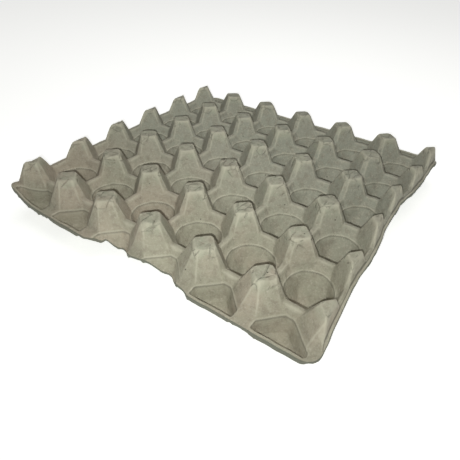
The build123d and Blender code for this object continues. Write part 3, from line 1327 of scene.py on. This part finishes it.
def add_node(tree: Tree, kind: str, settings: dict, links: dict) -> bpy.types.Node:
    """Add one node with its settings and incoming links.

    Args:
        tree: Node tree to add to.
        kind: Blender node type name.
        settings: Property names, or socket names or indices, and their values.
        links: Input socket names or indices and the output sockets that feed them.

    Returns:
        The new node.
    """
    node = tree.nodes.new(kind)
    for key, value in settings.items():
        if isinstance(key, str) and hasattr(node, key):
            setattr(node, key, value)
        else:
            node.inputs[key].default_value = value
    for key, source in links.items():
        tree.links.new(source, node.inputs[key])
    return node


@dataclass(frozen=True)
class Grain:
    """Size of a noise's features, mm, and its octaves of detail."""

    size_mm: float
    detail: float


@dataclass(frozen=True)
class Band:
    """Eased range of a value: it gives 0 at the start and the top at full.

    The start may lie above full, for a share that grows as the value falls.
    """

    start: float
    full: float
    top: float = 1.0


@dataclass(frozen=True)
class Patches:
    """Patchy share of a tone: a noise and the band that it is eased over."""

    grain: Grain
    band: Band


@dataclass(frozen=True)
class MouldedPulp:
    """Moulded grey waste-paper pulp, dried on the mould and never pressed.

    It is quite matt. Long fibres, short grey flock, specks of old print and pale edges, partly rubbed
    and partly painted highlight, give it its look. The sunk parts are painted a darker, greener grey as
    shade, and the skirt and underside a dark grey as shade. The wire mesh of the mould leaves faint
    level lines on the steep sides.
    """

    # Tones, from the plain pulp to what lies on it.
    warm: str = "#aba08e"
    cool: str = "#a09c89"
    # Painted shade: a darker, greener grey laid over the far (+Y) part of the tray, away from the key light.
    far_shade: str = "#96978a"
    # Painted shade: a darker, greener grey laid into the hollows.
    sunk: str = "#989182"
    cap: str = "#a5a692"
    stain: str = "#847b6d"
    fibre: str = "#b3ac9b"
    # Painted shade: a dark grey laid on the turned-down rim's skirt and on the underside, where the lamps
    # leave shade.
    torn: str = "#66685d"
    # Pale tone of rubbed wear and painted highlight: on convex edges, on ridges and caps, and along post
    # edges.
    rubbed_and_highlight: str = "#c0bba7"
    # Pale tone of the mouth lips, rubbed wear and painted highlight, and of the side strips, painted
    # highlight.
    lip: str = "#bcb7a3"
    # Dark tone of grime and painted shade inside the mouths, and of painted shade in the side folds and cap
    # creases.
    grime_and_shade: str = "#55534a"
    speck: str = "#4a473f"

    # Patchy shares of those tones.
    cool_patches: Patches = Patches(Grain(48.0, 3.0), Band(0.38, 0.6))
    cap_patches: Patches = Patches(Grain(13.0, 3.0), Band(0.40, 0.60, 0.75))
    stains: Patches = Patches(Grain(5.0, 4.0), Band(0.42, 0.72, 0.5))
    flock: Patches = Patches(Grain(1.5, 3.0), Band(0.48, 0.74, 0.75))
    edge_gaps: Patches = Patches(Grain(9.0, 3.0), Band(0.34, 0.56))
    crease_gaps: Patches = Patches(Grain(11.0, 2.0), Band(0.47, 0.56))
    noise_roughness: float = 0.6

    # Long fibres: their two directions in the plan, radians, and how much longer than wide.
    fibre_grain: Grain = Grain(1.1, 2.0)
    fibre_band: Band = Band(0.6, 0.74, 0.5)
    fibre_turns: tuple[float, float] = (0.5, 2.2)
    fibre_tilt: tuple[float, float] = (0.3, 0.2)
    fibre_length: float = 9.0

    # Places along Y and heights, m.
    # Painted shade of the far part: where along Y it comes in, m.
    far_shade_reach: Band = Band(-0.12, 0.05, 0.85)
    cap_height: Band = Band(0.035, 0.042)

    # Shares that follow the surface marks.
    # Painted shade: how far the hollows take the sunk tone.
    hollow_shade_band: Band = Band(-0.05, 0.7, 0.22)
    # Painted highlight on raised ridges and caps.
    ridge_highlight_band: Band = Band(-0.2, -0.5, 0.35)
    # Rubbed wear and painted highlight on convex edges.
    rub_and_highlight_band: Band = Band(0.12, 0.75, 0.34)
    # Rubbed wear and painted highlight along the upright post edges.
    edge_wear_and_highlight_band: Band = Band(0.8, 0.15, 0.32)
    # Painted shade on the skirt (rim) and on the underside (under), in the torn tone.
    rim_shade_band: Band = Band(0.2, 1.0, 0.85)
    under_band: Band = Band(0.2, 1.0, 0.7)

    # Pale lip round a mouth, rubbed wear and painted highlight, and a dark line of grime and painted shade
    # just inside it, by the distance inside it, mm.
    lip_outer: Band = Band(-0.75, -0.45, 0.38)
    lip_inner: Band = Band(0.10, -0.10)
    mouth_grime_and_shade_start: Band = Band(0.0, 0.2, 0.45)
    mouth_grime_and_shade_stop: Band = Band(0.7, 0.25)

    # Pale strip along the side rims, a painted highlight, and the dark fold beside it, painted shade, by the
    # distance out, mm.
    side_highlight_strip: Band = Band(1.3, 1.7, 0.6)
    fold_shade_start: Band = Band(0.7, 1.0, 0.6)
    fold_shade_stop: Band = Band(1.5, 1.2)

    # Creases of the crushed caps: their spacing, how the cells between them lie, and their look.
    crease_mm: float = 7.0
    crease_turn: tuple[float, float, float] = (0.7, 0.4, 0.9)
    crease_stretch: tuple[float, float, float] = (1.0, 0.45, 1.0)
    crease_line: Band = Band(0.10, 0.0)
    # Painted shade: the creases are drawn dark.
    crease_shade: Band = Band(0.2, 0.9, 0.22)
    crease_fall: Band = Band(0.0, 1.0, -1.0)
    crease_depth: float = 0.7

    # Specks of old print: their spacing, their size in it and how many of the places have one.
    speck_mm: float = 9.0
    speck_size: Band = Band(0.09, 0.04)
    speck_choice: Band = Band(0.62, 0.66, 0.85)

    # Relief, mm deep: lumps, felted surface, fibres and the wire lines of the mould.
    lump_grain: Grain = Grain(4.5, 3.0)
    lump_depth: float = 0.8
    felt_grain: Grain = Grain(1.3, 3.0)
    felt_depth: float = 0.55
    fibre_depth: float = 0.2
    wire_mm: float = 1.6
    wire_depth: float = 0.035
    wire_bend: float = 2.5
    wire_detail: tuple[float, float] = (2.0, 0.6)
    relief_strength: float = 0.8

    # The matt surface itself.
    roughness: float = 0.93
    specular: float = 0.22

    def build(self, name: str) -> bpy.types.Material:
        """Make the material.

        Args:
            name: Material name.

        Returns:
            The new material.
        """
        material = bpy.data.materials.new(name)
        material.use_nodes = True
        tree = material.node_tree
        tree.nodes.clear()
        place = add_node(tree, "ShaderNodeTexCoord", {}, {}).outputs["Object"]
        shader = add_node(
            tree, "ShaderNodeBsdfPrincipled",
            {"Roughness": self.roughness, "Specular IOR Level": self.specular},
            {"Base Color": self.colour(tree, place), "Normal": self.relief(tree, place)})
        add_node(tree, "ShaderNodeOutputMaterial", {}, {"Surface": shader.outputs[0]})
        return material

    def noise(self, tree: Tree, place: Socket, grain: Grain) -> Socket:
        """Add an even noise of a real size.

        Args:
            tree: Node tree.
            place: Coordinate socket.
            grain: Feature size and detail.

        Returns:
            The value socket.
        """
        settings = {"Scale": per_metre(grain.size_mm), "Detail": grain.detail,
                    "Roughness": self.noise_roughness}
        return add_node(tree, "ShaderNodeTexNoise", settings, {"Vector": place}).outputs[0]

    def ease(self, tree: Tree, value: Socket, band: Band) -> Socket:
        """Ease a value over a band.

        Args:
            tree: Node tree.
            value: Socket to ease.
            band: Where the result starts, where it is full, and its top.

        Returns:
            The eased socket.
        """
        ends = (band.start, band.full, 0.0, band.top)
        if band.start > band.full:
            ends = (band.full, band.start, band.top, 0.0)
        settings = {"interpolation_type": "SMOOTHSTEP", 1: ends[0], 2: ends[1], 3: ends[2], 4: ends[3]}
        return add_node(tree, "ShaderNodeMapRange", settings, {0: value}).outputs[0]

    def patchy(self, tree: Tree, place: Socket, patches: Patches) -> Socket:
        """Ease a noise into a patchy share."""
        return self.ease(tree, self.noise(tree, place, patches.grain), patches.band)

    def marked(self, tree: Tree, which: Mark, band: Band) -> Socket:
        """Ease one surface mark of the mesh into a share."""
        mark = add_node(tree, "ShaderNodeAttribute", {"attribute_name": which.value}, {})
        return self.ease(tree, mark.outputs["Fac"], band)

    def both(self, tree: Tree, first: Socket, second: Socket) -> Socket:
        """Multiply two values."""
        return add_node(tree, "ShaderNodeMath", {"operation": "MULTIPLY"}, {0: first, 1: second}).outputs[0]

    def mix(self, tree: Tree, share: Socket, first: Socket, second: str) -> Socket:
        """Mix a colour with a fixed one.

        Args:
            tree: Node tree.
            share: Share of the second colour.
            first: First colour.
            second: Second colour, a hex string.

        Returns:
            The mixed colour socket.
        """
        settings = {"data_type": "RGBA", 7: linear(second)}
        return add_node(tree, "ShaderNodeMix", settings, {0: share, 6: first}).outputs[2]

    def fibres(self, tree: Tree, place: Socket, turn: float) -> Socket:
        """Long fibres lying one way.

        Args:
            tree: Node tree.
            place: Coordinate socket.
            turn: Direction in the plan, radians.

        Returns:
            The value socket, high on a fibre.
        """
        settings = {"vector_type": "TEXTURE", "Rotation": (*self.fibre_tilt, turn),
                    "Scale": (1.0, self.fibre_length, 1.0)}
        turned = add_node(tree, "ShaderNodeMapping", settings, {"Vector": place}).outputs[0]
        return self.noise(tree, turned, self.fibre_grain)

    def on_caps(self, tree: Tree, place: Socket, share: Socket) -> Socket:
        """Keep a share on the caps and drop it on the post sides.

        Args:
            tree: Node tree.
            place: Coordinate socket.
            share: Share to keep.

        Returns:
            The share socket.
        """
        height = add_node(tree, "ShaderNodeSeparateXYZ", {}, {0: place}).outputs[2]
        return self.both(tree, self.ease(tree, height, self.cap_height), share)

    def creases(self, tree: Tree, place: Socket) -> Socket:
        """Thin folds in the crushed caps, high along a fold.

        Args:
            tree: Node tree.
            place: Coordinate socket.

        Returns:
            The value socket.
        """
        settings = {"Rotation": self.crease_turn, "Scale": self.crease_stretch}
        bent = add_node(tree, "ShaderNodeMapping", settings, {"Vector": place}).outputs[0]
        settings = {"feature": "DISTANCE_TO_EDGE", "Scale": per_metre(self.crease_mm), "Randomness": 1.0}
        cell = add_node(tree, "ShaderNodeTexVoronoi", settings, {"Vector": bent})
        line = self.ease(tree, cell.outputs["Distance"], self.crease_line)
        return self.on_caps(tree, place, self.both(tree, line, self.patchy(tree, place, self.crease_gaps)))

    def colour(self, tree: Tree, place: Socket) -> Socket:
        """Build the colour of the pulp, one tone over another.

        Args:
            tree: Node tree.
            place: Coordinate socket.

        Returns:
            The colour socket.
        """
        base = add_node(tree, "ShaderNodeRGB", {}, {})
        base.outputs[0].default_value = linear(self.warm)
        along = add_node(tree, "ShaderNodeSeparateXYZ", {}, {0: place}).outputs[1]
        layers = [
            (self.patchy(tree, place, self.cool_patches), self.cool),
            # Painted shade over the far part of the tray.
            (self.ease(tree, along, self.far_shade_reach), self.far_shade),
            # Painted shade in the hollows.
            (self.marked(tree, Mark.HOLLOW, self.hollow_shade_band), self.sunk),
            (self.on_caps(tree, place, self.patchy(tree, place, self.cap_patches)), self.cap),
            (self.patchy(tree, place, self.stains), self.stain),
            (self.patchy(tree, place, self.flock), self.fibre),
        ]
        for turn in self.fibre_turns:
            layers.append((self.ease(tree, self.fibres(tree, place, turn), self.fibre_band), self.fibre))
        layers += [
            # Painted shade on the skirt and the underside.
            (self.marked(tree, Mark.RIM, self.rim_shade_band), self.torn),
            (self.marked(tree, Mark.UNDER, self.under_band), self.torn),
            # Rubbed wear and painted highlight on convex edges, ridges and post edges.
            (self.marked(tree, Mark.RUB, self.rub_and_highlight_band), self.rubbed_and_highlight),
            (self.marked(tree, Mark.HOLLOW, self.ridge_highlight_band), self.rubbed_and_highlight),
            (self.both(tree, self.marked(tree, Mark.EDGE, self.edge_wear_and_highlight_band),
                       self.patchy(tree, place, self.edge_gaps)), self.rubbed_and_highlight),
            *self.line_layers(tree),
            # Painted shade in the cap creases.
            (self.ease(tree, self.creases(tree, place), self.crease_shade), self.grime_and_shade),
            (self.specks(tree, place), self.speck),
        ]
        tone = base.outputs[0]
        for share, colour in layers:
            tone = self.mix(tree, share, tone, colour)
        return tone

    def line_layers(self, tree: Tree) -> list[tuple[Socket, str]]:
        """Pale lip round each mouth, rubbed and painted highlight, with grime and painted shade under it,
        and the painted highlight strip and painted shade fold of the sides.

        Args:
            tree: Node tree.

        Returns:
            Shares with their tones, in the order in which they lie.
        """
        def between(which: Mark, first: Band, second: Band) -> Socket:
            """Share of what lies between two bands of one mark."""
            return self.both(tree, self.marked(tree, which, first), self.marked(tree, which, second))

        return [
            # Rubbed wear and painted highlight on the lip round each mouth.
            (between(Mark.MOUTH, self.lip_outer, self.lip_inner), self.lip),
            # Grime and painted shade just inside each mouth.
            (between(Mark.MOUTH, self.mouth_grime_and_shade_start, self.mouth_grime_and_shade_stop), self.grime_and_shade),
            # Painted highlight along the side rims.
            (self.marked(tree, Mark.SIDE, self.side_highlight_strip), self.lip),
            # Painted shade in the side fold.
            (between(Mark.SIDE, self.fold_shade_start, self.fold_shade_stop), self.grime_and_shade),
        ]

    def specks(self, tree: Tree, place: Socket) -> Socket:
        """Scatter specks of old print.

        Args:
            tree: Node tree.
            place: Coordinate socket.

        Returns:
            The share socket, high on a speck.
        """
        settings = {"Scale": per_metre(self.speck_mm), "Randomness": 1.0}
        cell = add_node(tree, "ShaderNodeTexVoronoi", settings, {"Vector": place})
        near = self.ease(tree, cell.outputs["Distance"], self.speck_size)
        return self.both(tree, near, self.ease(tree, cell.outputs["Color"], self.speck_choice))

    def relief(self, tree: Tree, place: Socket) -> Socket:
        """Build the fine relief of the pulp, one bump on another.

        Args:
            tree: Node tree.
            place: Coordinate socket.

        Returns:
            The normal socket.
        """
        # A wave texture at scale 1 turns by 20 radians per unit.
        settings = {"bands_direction": "Z", "Scale": 2 * math.pi / 20 * per_metre(self.wire_mm),
                    "Distortion": self.wire_bend, "Detail": self.wire_detail[0],
                    "Detail Scale": self.wire_detail[1]}
        wire = add_node(tree, "ShaderNodeTexWave", settings, {"Vector": place}).outputs["Fac"]
        bumps = [
            (self.noise(tree, place, self.lump_grain), self.lump_depth),
            (self.noise(tree, place, self.felt_grain), self.felt_depth),
            (self.fibres(tree, place, self.fibre_turns[0]), self.fibre_depth),
            (wire, self.wire_depth),
            (self.ease(tree, self.creases(tree, place), self.crease_fall), self.crease_depth),
        ]
        links = {}
        for height, depth_mm in bumps:
            settings = {"Strength": self.relief_strength, "Distance": depth_mm * MM}
            normal = add_node(tree, "ShaderNodeBump", settings, {"Height": height, **links}).outputs[0]
            links = {"Normal": normal}
        return normal


# --------------------------------------------------------------------------
# Tray
# --------------------------------------------------------------------------
@dataclass(frozen=True)
class EggTray:
    """The whole tray, one moulded sheet, with the point spacings of its two faces, mm."""

    sizes: TraySizes = TraySizes()
    wear: Wear = Wear()
    finish: MouldedPulp = MouldedPulp()
    spacings: tuple[float, float] = (1.32, 3.15)
    quick_spacings: tuple[float, float] = (1.8, 3.0)

    def build(self) -> bpy.types.Object:
        """Build the sheet and dress it.

        Returns:
            The tray's one piece.
        """
        fine, coarse = self.spacings
        tray = TraySheet(self.sizes, self.wear, fine, coarse).build("moulded_tray")
        self.dress(tray)
        return tray

    def dress(self, tray: bpy.types.Object) -> None:
        """Give the sheet its finish and tie it to the tray's solid.

        Args:
            tray: The built sheet.
        """
        tray.data.materials.append(self.finish.build("moulded_waste_paper_pulp"))
        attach(tray, "root")
        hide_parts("tray")


# --------------------------------------------------------------------------
# Studio, all sizes in m
# --------------------------------------------------------------------------
@dataclass(frozen=True)
class SoftLight:
    """One square area light, white unless told otherwise."""

    name: str
    place: tuple[float, float, float]
    size: float
    power: float
    colour: str = "#ffffff"
    even: bool = False
    # Only for an even light: the share of its strength that doesn't fade, and its cone, degrees.
    steady: float = 1.3
    spread: float = 102.0
    aim: tuple[float, float, float] = (0.015, -0.035, 0.02)

    def build(self) -> None:
        """Add the light, aimed at the tray."""
        data = bpy.data.lights.new(self.name, "AREA")
        data.shape = "SQUARE"
        data.size = self.size
        data.energy = self.power
        data.color = linear(self.colour)[:3]
        lamp = bpy.data.objects.new(self.name, data)
        bpy.context.scene.collection.objects.link(lamp)
        lamp.location = self.place
        aim = Vector(self.aim) - Vector(self.place)
        lamp.rotation_euler = aim.to_track_quat("-Z", "Y").to_euler()
        if self.even:
            self.spread_evenly(data)

    def spread_evenly(self, data: bpy.types.AreaLight) -> None:
        """Let a light that stands close by fade less with distance.

        Args:
            data: The area light.
        """
        data.spread = math.radians(self.spread)
        data.use_nodes = True
        tree = data.node_tree
        fade = add_node(tree, "ShaderNodeLightFalloff", {"Strength": 1.0}, {})
        steady = add_node(tree, "ShaderNodeMath", {"operation": "MULTIPLY", 1: self.steady},
                          {0: fade.outputs["Constant"]})
        both = add_node(tree, "ShaderNodeMath", {}, {0: fade.outputs["Linear"], 1: steady.outputs[0]})
        tree.links.new(both.outputs[0], tree.nodes["Emission"].inputs["Strength"])


@dataclass(frozen=True)
class Camera:
    """Where the camera stands and how it is turned.

    The heading turns it from +Y towards -X, the dip lowers its aim below level, and the roll
    raises its right side, all in degrees. The lens and the sensor are in mm.
    """

    place: tuple[float, float, float] = (0.1763, -0.2875, 0.2215)
    heading: float = 33.199
    dip: float = 38.175
    roll: float = 2.274
    lens: float = 32.1
    sensor: float = 36.0
    near: float = 0.01

    def build(self) -> None:
        """Add the camera and look through it."""
        data = bpy.data.cameras.new("studio_camera")
        data.lens = self.lens
        data.sensor_width = self.sensor
        data.sensor_fit = "HORIZONTAL"
        data.clip_start = self.near
        camera = bpy.data.objects.new("studio_camera", data)
        bpy.context.scene.collection.objects.link(camera)
        placed = Matrix.Translation(self.place)
        for turn, axis in ((self.heading, "Z"), (90 - self.dip, "X"), (self.roll, "Z")):
            placed = placed @ Matrix.Rotation(math.radians(turn), 4, axis)
        camera.matrix_world = placed
        bpy.context.scene.camera = camera


@dataclass(frozen=True)
class Studio:
    """Pale floor, soft lights and the camera."""

    floor: str = "#f4f4f2"
    floor_glow: float = 0.62
    floor_roughness: float = 0.9
    floor_reach: float = 6.0
    floor_gap: float = 0.0002
    surround: str = "#ffffff"
    surround_power: float = 0.22
    camera: Camera = Camera()
    lights: tuple[SoftLight, ...] = (
        SoftLight("key_softbox", (0.1737, -0.2973, 0.2127), 0.004, 0.55, "#f5faf7", True),
        SoftLight("top_softbox", (0.05, 0.15, 0.9), 0.9, 2.6),
    )

    def build_floor(self) -> None:
        """Add the floor, just below the tray."""
        mesh = bpy.data.meshes.new("pale_floor")
        reach = self.floor_reach
        corners = [(-reach, -reach, 0), (reach, -reach, 0), (reach, reach, 0), (-reach, reach, 0)]
        mesh.from_pydata(corners, [], [(0, 1, 2, 3)])
        floor = bpy.data.objects.new("pale_floor", mesh)
        bpy.context.scene.collection.objects.link(floor)
        floor.location.z = -self.floor_gap
        material = bpy.data.materials.new("matt_white_paper_sweep")
        material.use_nodes = True
        shader = material.node_tree.nodes["Principled BSDF"]
        shader.inputs["Base Color"].default_value = linear(self.floor)
        shader.inputs["Roughness"].default_value = self.floor_roughness
        shader.inputs["Emission Color"].default_value = linear(self.floor)
        shader.inputs["Emission Strength"].default_value = self.floor_glow
        mesh.materials.append(material)

    def build_surround(self) -> None:
        """Light the tray evenly from all round."""
        world = bpy.data.worlds.new("white_surround")
        world.use_nodes = True
        background = world.node_tree.nodes["Background"]
        background.inputs["Color"].default_value = linear(self.surround)
        background.inputs["Strength"].default_value = self.surround_power
        bpy.context.scene.world = world
        bpy.context.scene.view_settings.view_transform = "Standard"

    def build(self) -> None:
        """Build everything round the tray."""
        self.build_floor()
        for light in self.lights:
            light.build()
        self.build_surround()
        self.camera.build()


def main() -> None:
    """Build the tray and its studio."""
    logging.basicConfig(level=logging.INFO, format="%(name)s %(message)s")
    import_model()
    tray = EggTray().build()
    LOG.info("built %s, dressed in %s", tray.name, tray.data.materials[0].name)
    Studio().build()


if __name__ == "__main__":
    main()
